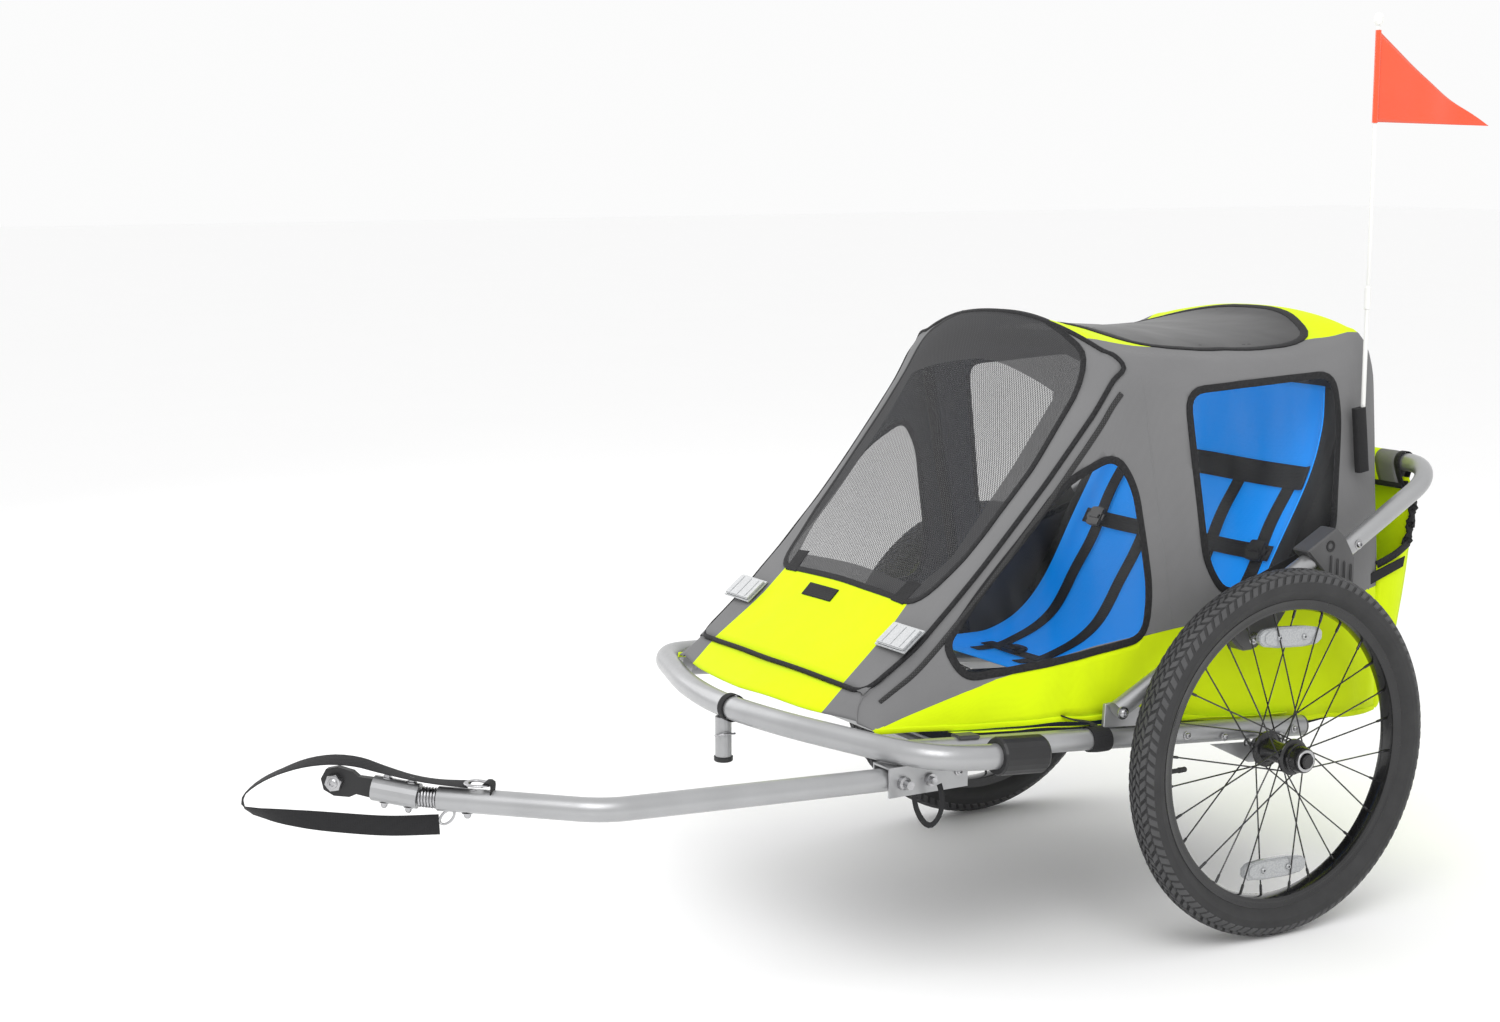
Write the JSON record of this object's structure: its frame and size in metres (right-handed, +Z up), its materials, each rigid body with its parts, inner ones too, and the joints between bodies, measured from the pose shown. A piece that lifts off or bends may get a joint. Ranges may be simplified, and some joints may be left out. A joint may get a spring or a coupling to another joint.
{
  "type": "child bicycle trailer",
  "caption": "Two-wheeled child bicycle trailer with a fabric cabin, side windows, front cover, rear bag, push bar, safety flag and a bent tow arm with a flexible hitch.",
  "frame": {"origin": "the middle of the bounding box, on the ground under it", "axes": "+Z up; the trailer drives towards -Y, so +Y is its rear; +X is its left, the side of the tow arm and the flag"},
  "size_m": [0.7966, 1.7394, 1.229],
  "materials": {
    "tube_paint": "satin",
    "zinc": "zinc plated",
    "moulded_grey": "matt moulded",
    "tyre": "block tread",
    "black_alloy": "gloss black",
    "black_plastic": "matt",
    "neon_fabric": "woven polyester",
    "grey_fabric": "woven polyester",
    "blue_fabric": "woven nylon",
    "webbing": "woven webbing",
    "clear_vinyl": "clear vinyl film",
    "reflector": "clear prismatic",
    "flag_vinyl": "gloss film",
    "white_pole": "glass-fibre rod",
    "rubber": "matt"
  },
  "bodies": {
    "trailer": {"bumper_bar": "tube_paint", "bumper_cap_left": "moulded_grey", "bumper_cap_right": "moulded_grey", "side_rail_left": "tube_paint", "side_rail_right": "tube_paint", "axle_plate_left": "tube_paint", "axle_plate_right": "tube_paint", "pivot_bracket_left": "tube_paint", "pivot_bracket_right": "tube_paint", "front_cross_tube": "tube_paint", "rear_cross_tube": "tube_paint", "hitch_bracket": "tube_paint", "stroller_socket": "tube_paint", "socket_cap": "black_plastic", "axle_stub_left": "zinc", "axle_stub_right": "zinc", "fabric_body": "grey_fabric", "window_front_left": "clear_vinyl", "window_front_right": "clear_vinyl", "window_rear_left": "clear_vinyl", "window_rear_right": "clear_vinyl", "sunroof": "clear_vinyl", "floor_panel": "rubber", "seat": "blue_fabric", "harness_left": "webbing", "harness_right": "webbing", "buckle_left": "black_plastic", "buckle_right": "black_plastic", "rear_bag": "neon_fabric", "hitch_bolt": "zinc", "pin_lanyard": "webbing"},
    "wheel_left": {"tyre_left": "tyre", "rim_left": "black_alloy", "hub_left": "black_alloy"},
    "wheel_right": {"tyre_right": "tyre", "rim_right": "black_alloy", "hub_right": "black_alloy"},
    "button_left": {"release_button_left": "black_alloy"},
    "button_right": {"release_button_right": "black_alloy"},
    "rear_frame": {"frame_leg_left": "tube_paint", "frame_leg_right": "tube_paint", "leg_clamp_left": "moulded_grey", "leg_clamp_right": "moulded_grey", "handlebar": "tube_paint", "flag_pocket": "rubber"},
    "front_arch": {"front_hoop": "tube_paint"},
    "rear_arch": {"rear_hoop": "tube_paint"},
    "cover": {"front_cover": "grey_fabric", "front_reflector_left": "reflector", "front_reflector_right": "reflector"},
    "arm": {"tow_arm": "tube_paint", "flex_spring": "zinc", "safety_strap": "webbing"},
    "coupler": {"coupler_sleeve": "tube_paint", "hitch_tongue": "black_plastic", "hitch_nut": "zinc"},
    "arm_pin": {"hitch_pin": "zinc"},
    "flag_lower": {"flag_pole_lower": "white_pole"},
    "flag_upper": {"flag_pole_upper": "white_pole", "flag": "flag_vinyl"}
  },
  "joints": [
    {"name": "wheel_left_spin", "type": "hinge", "parent": "trailer", "child": "wheel_left", "pos_m": [0.343, 0.41, 0.25], "axis": [1, 0, 0], "continuous": true},
    {"name": "wheel_right_spin", "type": "hinge", "parent": "trailer", "child": "wheel_right", "pos_m": [-0.343, 0.41, 0.25], "axis": [1, 0, 0], "continuous": true},
    {"name": "button_left_press", "type": "slide", "parent": "trailer", "child": "button_left", "axis": [-1, 0, 0], "range_m": [0, 0.003], "stiffness_N_per_m": 600},
    {"name": "button_right_press", "type": "slide", "parent": "trailer", "child": "button_right", "axis": [1, 0, 0], "range_m": [0, 0.003], "stiffness_N_per_m": 600},
    {"name": "frame_fold", "type": "hinge", "parent": "trailer", "child": "rear_frame", "pos_m": [0, 0.164, 0.329], "axis": [-1, 0, 0], "range_deg": [0, 26], "deforming": ["fabric_body", "window_front_left", "window_front_right", "window_rear_left", "window_rear_right", "sunroof", "front_cover", "front_reflector_left", "front_reflector_right", "seat", "harness_left", "harness_right", "buckle_left", "buckle_right", "rear_bag"]},
    {"name": "front_arch_fold", "type": "hinge", "parent": "trailer", "child": "front_arch", "pos_m": [0, 0.31, 0.302], "axis": [1, 0, 0], "range_deg": [0, 74], "deforming": ["fabric_body", "window_front_left", "window_front_right", "window_rear_left", "window_rear_right", "sunroof", "front_cover", "front_reflector_left", "front_reflector_right", "seat", "harness_left", "harness_right", "buckle_left", "buckle_right", "rear_bag"]},
    {"name": "rear_arch_fold", "type": "hinge", "parent": "rear_frame", "child": "rear_arch", "pos_m": [0, 0.552, 0.512], "axis": [1, 0, 0], "range_deg": [0, 118], "deforming": ["fabric_body", "window_front_left", "window_front_right", "window_rear_left", "window_rear_right", "sunroof", "front_cover", "front_reflector_left", "front_reflector_right", "seat", "harness_left", "harness_right", "buckle_left", "buckle_right", "rear_bag"]},
    {"name": "cover_lift", "type": "hinge", "parent": "trailer", "child": "cover", "pos_m": [0, 0.204, 0.826], "axis": [-1, 0, 0], "range_deg": [0, 110]},
    {"name": "arm_swing", "type": "hinge", "parent": "trailer", "child": "arm", "pos_m": [0.29, -0.133, 0.2815], "axis": [1, 0, 0], "range_deg": [0, 170]},
    {"name": "coupler_flex", "type": "hinge", "parent": "arm", "child": "coupler", "pos_m": [0.153, -0.739, 0.3085], "axis": [0, 0, 1], "range_deg": [-35, 35], "stiffness_Nm_per_rad": 12, "deforming": ["flex_spring"]},
    {"name": "arm_pin_pull", "type": "slide", "parent": "trailer", "child": "arm_pin", "axis": [1, 0, 0], "range_m": [0, 0.045]},
    {"name": "flag_lift", "type": "slide", "parent": "rear_frame", "child": "flag_lower", "axis": [0, 0, 1], "range_m": [0, 0.08]},
    {"name": "flag_split", "type": "slide", "parent": "flag_lower", "child": "flag_upper", "axis": [0, 0, 1], "range_m": [0, 0.03]}
  ],
  "couplings": [
    {"joint": "front_arch_fold", "follows": "frame_fold", "ratio": 2.84},
    {"joint": "rear_arch_fold", "follows": "frame_fold", "ratio": 4.53}
  ]
}
